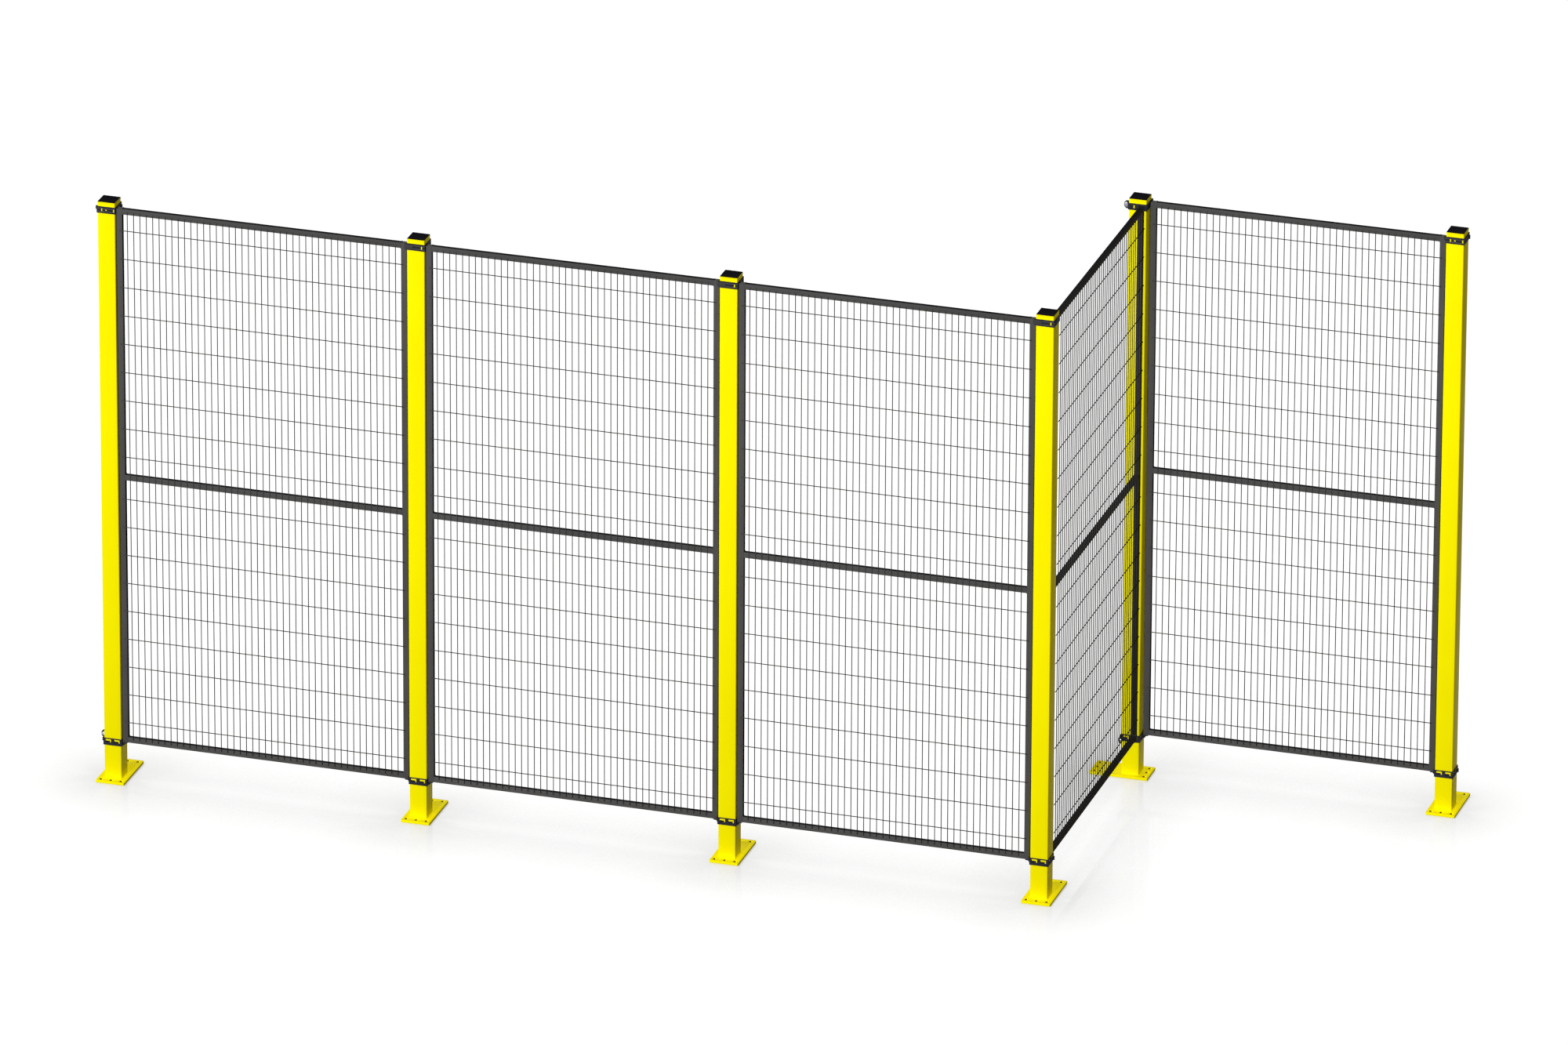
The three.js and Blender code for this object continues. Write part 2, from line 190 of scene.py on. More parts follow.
def markFaces(piece, name, chosen):
    # keeps the faces that chosen picks as an attribute, for a painted shade or highlight colour
    mark = piece.data.attributes.new(name, "FLOAT", "FACE")
    mark.data.foreach_set("value", [float(chosen(polygon)) for polygon in piece.data.polygons])


# finishes

def newGroup(name, sockets):
    # a shader group, with sockets as (name, way, kind, default)
    group = bpy.data.node_groups.new(name, "ShaderNodeTree")
    for socketName, way, kind, value in sockets:
        socket = group.interface.new_socket(name=socketName, in_out=way, socket_type=kind)
        if value is not None:
            socket.default_value = value
    return group, addNode(group, "NodeGroupInput").outputs, addNode(group, "NodeGroupOutput").inputs


def coatGrainGroup():
    # powder coat: fine orange peel, a few grains, and slow clouds of shade
    group, given, out = newGroup("coatGrain", [
        ("Vector", "INPUT", "NodeSocketVector", None), ("Peel Scale", "INPUT", "NodeSocketFloat", 700.0),
        ("Cloud Scale", "INPUT", "NodeSocketFloat", 4.0), ("Height", "OUTPUT", "NodeSocketFloat", None),
        ("Cloud", "OUTPUT", "NodeSocketFloat", None), ("Grain", "OUTPUT", "NodeSocketFloat", None)])
    peel = addNode(group, "ShaderNodeTexNoise", {"Vector": given["Vector"], "Scale": given["Peel Scale"],
                                                 "Detail": 2.0, "Roughness": 0.45})
    cells = addNode(group, "ShaderNodeTexVoronoi", {"Vector": given["Vector"], "Scale": given["Peel Scale"]},
                    feature="SMOOTH_F1")
    clouds = addNode(group, "ShaderNodeTexNoise", {"Vector": given["Vector"], "Scale": given["Cloud Scale"],
                                                   "Detail": 4.0, "Roughness": 0.55})
    cloud = mapped(group, clouds.outputs["Fac"], 0.35, 0.65)
    height = maths(group, "MULTIPLY_ADD", cells.outputs["Distance"], 0.6, peel.outputs["Fac"])
    grain = mapped(group, peel.outputs["Fac"], 0.5, 0.75)
    group.links.new(height, out["Height"])
    group.links.new(cloud, out["Cloud"])
    group.links.new(grain, out["Grain"])
    return group


def edgeRubGroup():
    # where the coat is rubbed thin: along edges, broken up by noise
    group, given, out = newGroup("edgeRub", [
        ("Vector", "INPUT", "NodeSocketVector", None), ("Edge", "INPUT", "NodeSocketFloat", 0.0),
        ("Patch Scale", "INPUT", "NodeSocketFloat", 30.0), ("Rub", "OUTPUT", "NodeSocketFloat", None)])
    patches = addNode(group, "ShaderNodeTexNoise", {"Vector": given["Vector"], "Scale": given["Patch Scale"],
                                                    "Detail": 5.0, "Roughness": 0.7})
    broken = mapped(group, patches.outputs["Fac"], 0.47, 0.62)
    group.links.new(maths(group, "MULTIPLY", broken, given["Edge"]), out["Rub"])
    return group


def floorDustGroup():
    # fine dust low down and on what faces up
    group, given, out = newGroup("floorDust", [
        ("Vector", "INPUT", "NodeSocketVector", None), ("Reach", "INPUT", "NodeSocketFloat", 0.12),
        ("Dust", "OUTPUT", "NodeSocketFloat", None)])
    height = addNode(group, "ShaderNodeSeparateXYZ", {0: given["Vector"]}).outputs["Z"]
    low = mapped(group, height, given["Reach"], 0.0)
    upMask = addNode(group, "ShaderNodeGroup", node_tree=facesUp).outputs["Mask"]
    upOnly = mapped(group, upMask, toMin=0.35)
    drift = addNode(group, "ShaderNodeTexNoise", {"Vector": given["Vector"], "Scale": 18.0, "Detail": 6.0,
                                                  "Roughness": 0.65})
    speck = mapped(group, drift.outputs["Fac"], 0.4, 0.7)
    mask = maths(group, "MULTIPLY", low, speck)
    group.links.new(maths(group, "MULTIPLY", mask, upOnly), out["Dust"])
    return group


def facesUpGroup():
    # one where a face looks straight up, nothing where it is upright
    group, given, out = newGroup("facesUp", [
        ("Least", "INPUT", "NodeSocketFloat", 0.4), ("Mask", "OUTPUT", "NodeSocketFloat", None)])
    normal = addNode(group, "ShaderNodeTexCoord").outputs["Normal"]
    up = addNode(group, "ShaderNodeSeparateXYZ", {0: normal}).outputs["Z"]
    group.links.new(mapped(group, up, given["Least"]), out["Mask"])
    return group


facesUp = facesUpGroup()
coatGrain = coatGrainGroup()
edgeRub = edgeRubGroup()
floorDust = floorDustGroup()


def mixColour(tree, factor, first, second):
    node = addNode(tree, "ShaderNodeMix", data_type="RGBA")
    for number, value in ((0, factor), (6, first), (7, second)):
        if isinstance(value, bpy.types.NodeSocket):
            tree.links.new(value, node.inputs[number])
        else:
            node.inputs[number].default_value = value
    return node.outputs[2]


def coatMaterial(name, look):
    # one powder coat: its colour shifts slowly, its edges are rubbed and its foot is dusty; painted shade
    # darkens its tops and marked faces, and a painted highlight lightens marked ribs
    material = bpy.data.materials.new(name)
    material.use_nodes = True
    tree = material.node_tree
    shader = tree.nodes["Principled BSDF"]
    place = addNode(tree, "ShaderNodeTexCoord").outputs["Object"]
    grain = addNode(tree, "ShaderNodeGroup", node_tree=coatGrain)
    rub = addNode(tree, "ShaderNodeGroup", node_tree=edgeRub)
    dust = addNode(tree, "ShaderNodeGroup", node_tree=floorDust)
    for group in (grain, rub, dust):
        tree.links.new(place, group.inputs["Vector"])
    grain.inputs["Peel Scale"].default_value = look["peelScale"]
    grain.inputs["Cloud Scale"].default_value = look["cloudScale"]
    rub.inputs["Patch Scale"].default_value = look["patchScale"]
    dust.inputs["Reach"].default_value = look["dustReach"]
    edge = addNode(tree, "ShaderNodeAttribute", attribute_name="edge").outputs["Fac"]
    tree.links.new(edge, rub.inputs["Edge"])

    colour = mixColour(tree, grain.outputs["Cloud"], look["colour"], look["cloudColour"])
    # faces marked for painted shade take a darker colour, and faces marked for a painted highlight a lighter
    # one
    for mark in ("paintedShade", "raised"):
        chosen = addNode(tree, "ShaderNodeAttribute", attribute_name=mark).outputs["Fac"]
        colour = mixColour(tree, chosen, colour, look[mark + "Colour"])
    # painted shade: faces that look up are darkened towards the top colour, as if less light fell on them
    # from above
    up = addNode(tree, "ShaderNodeGroup", node_tree=facesUp)
    colour = mixColour(tree, maths(tree, "MULTIPLY", up.outputs["Mask"], look["topShare"]),
                       colour, look["topColour"])
    colour = mixColour(tree, maths(tree, "MULTIPLY", grain.outputs["Grain"], look["grainShare"]),
                       colour, look["grainColour"])
    colour = mixColour(tree, maths(tree, "MULTIPLY", rub.outputs["Rub"], look["rubShare"]),
                       colour, look["rubColour"])
    colour = mixColour(tree, maths(tree, "MULTIPLY", dust.outputs["Dust"], look["dustShare"]),
                       colour, look["dustColour"])
    tree.links.new(colour, shader.inputs["Base Color"])
    rough = mapped(tree, grain.outputs["Cloud"], toMin=look["roughness"] - look["roughnessSpread"],
                   toMax=look["roughness"] + look["roughnessSpread"])
    dusty = maths(tree, "MULTIPLY_ADD", dust.outputs["Dust"], look["dustRoughness"], rough)
    tree.links.new(dusty, shader.inputs["Roughness"])
    bump = addNode(tree, "ShaderNodeBump", {"Height": grain.outputs["Height"], "Distance": look["bumpDepth"],
                                            "Strength": look["bumpStrength"]})
    tree.links.new(bump.outputs["Normal"], shader.inputs["Normal"])
    shader.inputs["Specular IOR Level"].default_value = look["specular"]
    return material


# the top colour is a painted shade for faces that look up, and the darker colour for marked faces is a
# painted shade on the left walls of the anchor holes
yellowLook = {
    "colour": linear(254, 245, 1), "cloudColour": linear(251, 240, 1), "grainColour": linear(255, 247, 14),
    "grainShare": 0.1, "rubColour": linear(216, 198, 18), "rubShare": 0.4, "dustColour": linear(214, 196, 30),
    "dustShare": 0.2, "dustReach": 0.08, "dustRoughness": 0.25,
    "topColour": linear(246, 230, 4), "topShare": 0.8,
    "paintedShadeColour": linear(96, 84, 12), "raisedColour": linear(254, 245, 1),
    "roughness": 0.45, "roughnessSpread": 0.05, "specular": 0.02,
    "peelScale": 620.0, "cloudScale": 2.6, "patchScale": 26.0, "bumpStrength": 0.2, "bumpDepth": 0.25 * mm,
}
# frames are black coat painted as a lit and a shaded copy: the grey colour is a painted sheen for faces to
# the front and back, and the near-black colours are painted shade for tops and marked side faces
frameLook = {
    "colour": linear(81, 81, 82), "cloudColour": linear(74, 74, 75), "grainColour": linear(100, 100, 101),
    "grainShare": 0.3, "rubColour": linear(118, 117, 116), "rubShare": 0.35,
    "dustColour": linear(104, 102, 98), "dustShare": 0.2, "dustReach": 0.25, "dustRoughness": 0.25,
    "topColour": linear(24, 24, 28), "topShare": 1.0,
    "paintedShadeColour": linear(28, 28, 33), "raisedColour": linear(100, 100, 101),
    "roughness": 0.55, "roughnessSpread": 0.06, "specular": 0.0,
    "peelScale": 900.0, "cloudScale": 3.5, "patchScale": 34.0, "bumpStrength": 0.3, "bumpDepth": 0.2 * mm,
}
# wires take the frame's painted shade on their tops at half share
wireLook = {**frameLook, "colour": linear(68, 68, 68), "cloudColour": linear(60, 60, 60),
            "roughness": 0.5, "peelScale": 1400.0, "bumpDepth": 0.1 * mm, "topShare": 0.5}
# the lap takes the frame's painted shade, with its own darker colour for marked side faces
lapLook = {**frameLook, "colour": linear(68, 67, 68), "cloudColour": linear(60, 59, 61),
           "paintedShadeColour": linear(40, 40, 46)}
# the top colour and the darker colour for marked faces are painted shade, on tops and on the set-back tabs;
# the lighter colour for raised faces is a painted highlight on the ribs
clampLook = {
    "colour": linear(45, 46, 54), "cloudColour": linear(38, 39, 47), "grainColour": linear(66, 67, 78),
    "grainShare": 0.35, "rubColour": linear(84, 84, 92), "rubShare": 0.4, "dustColour": linear(84, 82, 80),
    "dustShare": 0.2, "dustReach": 0.2, "dustRoughness": 0.25,
    "topColour": linear(22, 22, 27), "topShare": 0.8,
    "paintedShadeColour": linear(22, 22, 27), "raisedColour": linear(80, 80, 88),
    "roughness": 0.6, "roughnessSpread": 0.06, "specular": 0.03,
    "peelScale": 1500.0, "cloudScale": 22.0, "patchScale": 90.0, "bumpStrength": 0.4, "bumpDepth": 0.15 * mm,
}
# the lid keeps the clamp's painted shade for its top
lidLook = {**clampLook, "colour": linear(24, 24, 29), "cloudColour": linear(20, 20, 24),
           "grainColour": linear(36, 36, 43), "rubColour": linear(56, 56, 64), "roughness": 0.65,
           "dustReach": 0.01, "specular": 0.0}
zincLook = {"colour": linear(196, 197, 201), "cloudColour": linear(118, 120, 127), "cloudScale": 260.0,
            "markScale": 2400.0, "roughnessLeast": 0.2, "roughnessMost": 0.42,
            "bumpStrength": 0.15, "bumpDepth": 0.05 * mm}


def zincMaterial(name, look):
    # bright zinc plate: cloudy steel with fine turning marks
    material = bpy.data.materials.new(name)
    material.use_nodes = True
    tree = material.node_tree
    shader = tree.nodes["Principled BSDF"]
    place = addNode(tree, "ShaderNodeTexCoord").outputs["Object"]
    clouds = addNode(tree, "ShaderNodeTexNoise", {
        "Vector": place, "Scale": look["cloudScale"], "Detail": 4.0})
    marks = addNode(tree, "ShaderNodeTexNoise", {
        "Vector": place, "Scale": look["markScale"], "Detail": 2.0})
    colour = mixColour(tree, clouds.outputs["Fac"], look["colour"], look["cloudColour"])
    tree.links.new(colour, shader.inputs["Base Color"])
    rough = mapped(tree, clouds.outputs["Fac"], toMin=look["roughnessLeast"], toMax=look["roughnessMost"])
    tree.links.new(rough, shader.inputs["Roughness"])
    bump = addNode(tree, "ShaderNodeBump", {"Height": marks.outputs["Fac"], "Distance": look["bumpDepth"],
                                            "Strength": look["bumpStrength"]})
    tree.links.new(bump.outputs["Normal"], shader.inputs["Normal"])
    shader.inputs["Metallic"].default_value = 1.0
    return material


yellowCoat = coatMaterial("yellowCoat", yellowLook)
frameCoat = coatMaterial("frameCoat", frameLook)
wireCoat = coatMaterial("wireCoat", wireLook)
lapCoat = coatMaterial("lapCoat", lapLook)
clampCoat = coatMaterial("clampCoat", clampLook)
lidPlastic = coatMaterial("lidPlastic", lidLook)
zincPlate = zincMaterial("zincPlate", zincLook)
print("finishes made")


# geometry trees

def newGeometryTree(name, sockets):
    tree = bpy.data.node_groups.new(name, "GeometryNodeTree")
    tree.interface.new_socket(name="Geometry", in_out="INPUT", socket_type="NodeSocketGeometry")
    for socketName, kind, value in sockets:
        socket = tree.interface.new_socket(name=socketName, in_out="INPUT", socket_type=kind)
        if value is not None:
            socket.default_value = value
    tree.interface.new_socket(name="Geometry", in_out="OUTPUT", socket_type="NodeSocketGeometry")
    return tree, addNode(tree, "NodeGroupInput").outputs, addNode(tree, "NodeGroupOutput").inputs


def runTree(source, tree, values, name):
    # the tree on an object, as a plain piece
    modifier = source.modifiers.new("tree", "NODES")
    modifier.node_group = tree
    keys = {item.name: item.identifier for item in tree.interface.items_tree if item.in_out == "INPUT"}
    for key, value in values.items():
        modifier[keys[key]] = value
    source.update_tag()
    return plainPiece(source, name)


def finishTree(tree, geometry, material, output, smooth=True):
    whole = addNode(tree, "GeometryNodeRealizeInstances", {"Geometry": geometry}).outputs["Geometry"]
    if smooth:
        whole = addNode(tree, "GeometryNodeSetShadeSmooth", {"Geometry": whole}).outputs["Geometry"]
    painted = addNode(tree, "GeometryNodeSetMaterial", {"Geometry": whole, "Material": material})
    tree.links.new(painted.outputs["Geometry"], output["Geometry"])


crossingSpread = {"Min": (0.75, 0.5, 0.75), "Max": (1.15, 0.8, 1.15)}  # how weld sizes vary
beadSpread = {"Min": (0.85, 0.85, 0.85), "Max": (1.1, 1.1, 1.1)}


def wirePanelTree():
    # upright wires, level wires outside them, and a weld at every crossing, round the origin
    tree, given, out = newGeometryTree("wirePanel", [
        ("Wire Diameter", "NodeSocketFloat", 0.003), ("Upright Pitch", "NodeSocketFloat", 0.022),
        ("Upright Count", "NodeSocketInt", 43), ("Upright Length", "NodeSocketFloat", 1.878),
        ("Level Pitch", "NodeSocketFloat", 0.1), ("Level Count", "NodeSocketInt", 9),
        ("Level From Middle", "NodeSocketFloat", 0.075), ("Level Length", "NodeSocketFloat", 0.978),
        ("Bite", "NodeSocketFloat", 0.0003), ("Weld Size", "NodeSocketFloat", 0.0018),
        ("Wire Sides", "NodeSocketInt", 10), ("Seed", "NodeSocketInt", 7),
        ("Material", "NodeSocketMaterial", None)])
    radius = maths(tree, "MULTIPLY", given["Wire Diameter"], 0.5)
    width = maths(tree, "MULTIPLY", given["Upright Pitch"],
                  maths(tree, "SUBTRACT", given["Upright Count"], 1.0))
    rise = maths(tree, "MULTIPLY", given["Level Pitch"], maths(tree, "SUBTRACT", given["Level Count"], 1.0))
    levelY = maths(tree, "SUBTRACT", given["Bite"], given["Wire Diameter"])

    def vector(x=0.0, y=0.0, z=0.0):
        return addNode(tree, "ShaderNodeCombineXYZ", {0: x, 1: y, 2: z}).outputs[0]

    upright = addNode(tree, "GeometryNodeMeshCylinder", {
        "Vertices": given["Wire Sides"], "Radius": radius, "Depth": given["Upright Length"]})
    columns = addNode(tree, "GeometryNodeMeshLine", {
        "Count": given["Upright Count"], "Start Location": vector(maths(tree, "MULTIPLY", width, -0.5)),
        "Offset": vector(given["Upright Pitch"])})
    parts = [addNode(tree, "GeometryNodeInstanceOnPoints", {
        "Points": columns.outputs[0], "Instance": upright.outputs["Mesh"]}).outputs[0]]
    level = addNode(tree, "GeometryNodeMeshCylinder", {
        "Vertices": given["Wire Sides"], "Radius": radius, "Depth": given["Level Length"]})
    weld = addNode(tree, "GeometryNodeMeshIcoSphere", {"Radius": given["Weld Size"], "Subdivisions": 1})
    for way in (-1, 1):
        start = maths(tree, "MULTIPLY", given["Level From Middle"], float(way))
        rows = addNode(tree, "GeometryNodeMeshLine", {
            "Count": given["Level Count"], "Start Location": vector(0.0, levelY, start),
            "Offset": vector(0.0, 0.0, maths(tree, "MULTIPLY", given["Level Pitch"], float(way)))})
        parts.append(addNode(tree, "GeometryNodeInstanceOnPoints", {
            "Points": rows.outputs[0], "Instance": level.outputs["Mesh"],
            "Rotation": (0, math.pi / 2, 0)}).outputs[0])
        crossings = addNode(tree, "GeometryNodeMeshGrid", {
            "Size X": width, "Size Y": rise, "Vertices X": given["Upright Count"],
            "Vertices Y": given["Level Count"]})
        centre = maths(tree, "MULTIPLY_ADD", rise, 0.5 * way, start)
        stood = addNode(tree, "GeometryNodeTransform", {
            "Geometry": crossings.outputs["Mesh"], "Rotation": (math.pi / 2, 0, 0),
            "Translation": vector(0.0, maths(tree, "MULTIPLY", levelY, 0.5), centre)})
        spread = addNode(tree, "FunctionNodeRandomValue", {**crossingSpread, "Seed": given["Seed"]},
                         data_type="FLOAT_VECTOR")
        parts.append(addNode(tree, "GeometryNodeInstanceOnPoints", {
            "Points": stood.outputs[0], "Instance": weld.outputs["Mesh"],
            "Scale": spread.outputs["Value"]}).outputs[0])
    joined = addNode(tree, "GeometryNodeJoinGeometry")
    for part in parts:
        tree.links.new(part, joined.inputs["Geometry"])
    finishTree(tree, joined.outputs["Geometry"], given["Material"], out)
    return tree


def weldBeadTree():
    # overlapping drops of weld along every curve that goes in
    tree, given, out = newGeometryTree("weldBead", [
        ("Step", "NodeSocketFloat", 0.0022), ("Bead Size", "NodeSocketFloat", 0.0024),
        ("Seed", "NodeSocketInt", 3), ("Material", "NodeSocketMaterial", None)])
    spaced = addNode(tree, "GeometryNodeResampleCurve", {"Curve": given["Geometry"], "Length": given["Step"]},
                     mode="LENGTH")
    points = addNode(tree, "GeometryNodeCurveToPoints", {"Curve": spaced.outputs["Curve"]}, mode="EVALUATED")
    drop = addNode(tree, "GeometryNodeMeshIcoSphere", {"Radius": given["Bead Size"], "Subdivisions": 2})
    spread = addNode(tree, "FunctionNodeRandomValue", {**beadSpread, "Seed": given["Seed"]},
                     data_type="FLOAT_VECTOR")
    drops = addNode(tree, "GeometryNodeInstanceOnPoints", {
        "Points": points.outputs["Points"], "Instance": drop.outputs["Mesh"],
        "Rotation": points.outputs["Rotation"], "Scale": spread.outputs["Value"]})
    finishTree(tree, drops.outputs["Instances"], given["Material"], out)
    return tree


def fastenerTree():
    # one part on every point, turned and sized by the points' own attributes
    tree, given, out = newGeometryTree("fasteners", [
        ("Part", "NodeSocketObject", None), ("Material", "NodeSocketMaterial", None)])
    part = addNode(tree, "GeometryNodeObjectInfo", {"Object": given["Part"]})

    def attribute(name):
        node = addNode(tree, "GeometryNodeInputNamedAttribute", {"Name": name}, data_type="FLOAT_VECTOR")
        return node.outputs["Attribute"]

    placed = addNode(tree, "GeometryNodeInstanceOnPoints", {
        "Points": given["Geometry"], "Instance": part.outputs["Geometry"],
        "Rotation": addNode(tree, "FunctionNodeEulerToRotation", {0: attribute("turn")}).outputs[0],
        "Scale": attribute("size")})
    finishTree(tree, placed.outputs["Instances"], given["Material"], out, smooth=False)
    return tree


wirePanel = wirePanelTree()
weldBead = weldBeadTree()
fasteners = fastenerTree()
print("geometry trees made")


# posts, base plates and caps

postSizes = {"corner": 3.0 * mm, "wall": 2.0 * mm, "edge": 0.35 * mm, "weldRise": 0.2 * mm}
plateSizes = {"corner": 4 * mm, "hole": 12 * mm, "holeInset": 15 * mm, "holeSpacing": 35 * mm,
              "edge": 0.9 * mm}
capSizes = {"lid": 1.0 * mm, "letIn": 0.3 * mm, "border": 0.5 * mm, "corner": 1.6 * mm,
            "rimEdge": 0.5 * mm, "lidEdge": 0.4 * mm}
footWeld = {"Step": 1.1 * mm, "Bead Size": 0.9 * mm, "Seed": 5}


def postPiece(number):
    low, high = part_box(f"post_{number}")
    middle = (low + high) / 2
    half = (high.x - low.x) / 2
    bore = half - postSizes["wall"]
    loops = [roundedLoop(half, half, postSizes["corner"]),
             roundedLoop(bore, bore, postSizes["corner"] - postSizes["wall"])]
    place = Matrix.Translation((middle.x, middle.y, 0))
    mesh = meshFrom("postMesh", lambda work: solidFromLoops(work, loops, low.z, high.z, place))
    piece = eased(f"postTube{number}", mesh, postSizes["edge"])
    return dress(piece, "posts", yellowCoat, [f"post_{number}"])


def platePiece(number):
    low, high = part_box(f"base_plate_{number}")
    middle = (low + high) / 2
    turned = high.x - low.x > high.y - low.y
    halfX, halfY = sorted([(high.x - low.x) / 2, (high.y - low.y) / 2])
    loops = [roundedLoop(halfX, halfY, plateSizes["corner"])]
    for end in (-1, 1):
        for column in (-1, 0, 1):
            loops.append(circleLoop(column * plateSizes["holeSpacing"],
                                    end * (halfY - plateSizes["holeInset"]), plateSizes["hole"] / 2))
    place = Matrix.Translation((middle.x, middle.y, 0)) @ Matrix.Rotation(math.pi / 2 * turned, 4, "Z")
    mesh = meshFrom("plateMesh", lambda work: solidFromLoops(work, loops, low.z, high.z, place))
    piece = eased(f"basePlate{number}", mesh, plateSizes["edge"])

    def isShadedWall(polygon):
        # the left wall of an anchor hole, which takes a painted shade
        spot = place.inverted() @ polygon.center
        inner = min(halfX - abs(spot.x), halfY - abs(spot.y)) > plateSizes["corner"]
        return inner and abs(polygon.normal.z) < 0.5 and polygon.normal.x > 0.1

    markFaces(piece, "paintedShade", isShadedWall)
    return dress(piece, "posts", yellowCoat, [f"base_plate_{number}"])


def capPieces(number):
    # a yellow rim round the tube's head, and the black lid let into it
    low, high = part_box(f"post_cap_{number}")
    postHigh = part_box(f"post_{number}")[1]
    middle = (low + high) / 2
    half = (high.x - low.x) / 2
    place = Matrix.Translation((middle.x, middle.y, 0))
    lidHalf = half - capSizes["border"]
    rimTop = high.z - capSizes["lid"]
    lidFoot = rimTop - capSizes["letIn"]
    rimLoops = [roundedLoop(half, half, capSizes["corner"])]
    lidLoops = [roundedLoop(lidHalf, lidHalf, capSizes["corner"])]
    rimMesh = meshFrom("rimMesh", lambda work: solidFromLoops(work, rimLoops, postHigh.z, rimTop, place))
    lidMesh = meshFrom("lidMesh", lambda work: solidFromLoops(work, lidLoops, lidFoot, high.z, place))
    rim = eased(f"capRim{number}", rimMesh, capSizes["rimEdge"])
    lid = eased(f"capLid{number}", lidMesh, capSizes["lidEdge"])
    dress(rim, "posts", yellowCoat)
    dress(lid, "posts", lidPlastic, [f"post_cap_{number}"])


def curveObject(name, runs, closed):
    curve = bpy.data.curves.new(name, "CURVE")
    curve.dimensions = "3D"
    for run in runs:
        spline = curve.splines.new("POLY")
        spline.points.add(len(run) - 1)
        for point, place in zip(spline.points, run):
            point.co = (*place, 1)
        spline.use_cyclic_u = closed
    return linkedObject(name, curve)


def footWelds():
    # a bead all round the foot of each post, on its plate
    runs = []
    for number in range(1, postCount + 1):
        low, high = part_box(f"post_{number}")
        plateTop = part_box(f"base_plate_{number}")[1].z
        half = (high.x - low.x) / 2
        middle = (low + high) / 2
        runs.append([(middle.x + x, middle.y + y, plateTop + postSizes["weldRise"])
                     for x, y in roundedLoop(half, half, postSizes["corner"])])
    path = curveObject("footWeldPath", runs, True)
    piece = runTree(path, weldBead, {**footWeld, "Material": yellowCoat}, "footWelds")
    dress(piece, "posts", yellowCoat)


for number in range(1, postCount + 1):
    postPiece(number)
    platePiece(number)
    capPieces(number)
footWelds()
print("posts made")


# clamps

clampSizes = {"edge": 0.35 * mm, "bossOuter": 6.0 * mm, "bossInner": 2.7 * mm, "bossDepth": 3.12 * mm,
              "bossRim": 0.5 * mm, "holeRim": 0.3 * mm, "bossSteps": 36,
              "tabFrom": 0.4 * mm, "tabTo": 1.9 * mm, "ribFrom": 2.8 * mm, "ribTo": 3.5 * mm}


def clampPiece(node):
    # the tabs set back in the windows lie just outside the post and take a painted shade, and the ribs stand
    # proud of the band and take a painted highlight
    piece = eased(node.replace("_clamp_", "Clamp"), nodeMesh(node), clampSizes["edge"])
    low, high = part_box("post_" + node[-1])
    middle = (low + high) / 2
    half = (high.x - low.x) / 2

    def liesBetween(polygon, least, most):
        away = max(abs(polygon.center.x - middle.x), abs(polygon.center.y - middle.y)) - half
        return abs(polygon.normal.z) < 0.5 and clampSizes[least] < away < clampSizes[most]

    markFaces(piece, "paintedShade", lambda polygon: liesBetween(polygon, "tabFrom", "tabTo"))
    if node.startswith("top"):
        # painted highlight: the ribs are lightened as if they catch the light
        markFaces(piece, "raised", lambda polygon: liesBetween(polygon, "ribFrom", "ribTo"))
    return dress(piece, "posts", clampCoat, [node])


def bossRing(number):
    # the round boss and its hole on an end post's clamp
    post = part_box(f"post_{number}")
    clampLow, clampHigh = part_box(f"top_clamp_{number}")
    middle = (post[0] + post[1]) / 2
    centre = Vector((middle.x, clampLow.y, (clampLow.z + clampHigh.z) / 2))
    outer, inner, depth = (clampSizes[key] for key in ("bossOuter", "bossInner", "bossDepth"))
    rim, holeRim, steps = (clampSizes[key] for key in ("bossRim", "holeRim", "bossSteps"))
    profile = [(inner, depth), (inner, holeRim), (inner + holeRim, 0), (outer - rim, 0), (outer, rim),
               (outer, depth)]

    def build(work):
        rings = []
        for step in range(steps):
            angle = 2 * math.pi * step / steps
            rings.append([work.verts.new(centre + Vector((r * math.cos(angle), y, r * math.sin(angle))))
                          for r, y in profile])
        for step in range(steps):
            ring, following = rings[step], rings[(step + 1) % steps]
            for k in range(len(profile)):
                j = (k + 1) % len(profile)
                work.faces.new((ring[k], ring[j], following[j], following[k]))

    piece = smoothed(linkedObject(f"bossRing{number}", meshFrom("bossMesh", build)), 40)
    dress(piece, "posts", clampCoat)


for number in range(1, postCount + 1):
    clampPiece(f"top_clamp_{number}")
    clampPiece(f"bottom_clamp_{number}")
for number in (1, postCount):
    bossRing(number)
print("clamps made")


# clamp bolts

boltSizes = {"headHeight": 4 * mm, "washer": 0.9 * mm, "recess": 1.6 * mm, "shank": 3 * mm, "nut": 5.77 * mm,
             "nutHeight": 5 * mm, "nutEdge": 0.4 * mm, "grip": 4.6 * mm, "shankInHead": 0.5 * mm,
             "shankPastNut": 0.4 * mm, "topReach": 0.1 * mm}
headShares = {"dome": 0.86, "rim": 0.35, "recessLength": 0.5, "recessWidth": 0.11}


def spunMesh(name, profile, steps=32):
    # a profile of (radius, y) pairs turned about y, closed at both ends on the axis
    def build(work):
        rings = []
        for r, y in profile:
            if r == 0:
                rings.append([work.verts.new((0, y, 0))])
                continue
            rings.append([work.verts.new((r * math.cos(2 * math.pi * i / steps), y,
                                          r * math.sin(2 * math.pi * i / steps))) for i in range(steps)])
        for first, second in zip(rings, rings[1:]):
            for i in range(steps):
                j = (i + 1) % steps
                if len(first) == 1:
                    work.faces.new((first[0], second[i], second[j]))
                elif len(second) == 1:
                    work.faces.new((first[i], second[0], first[j]))
                else:
                    work.faces.new((first[i], second[i], second[j], first[j]))
    return meshFrom(name, build)


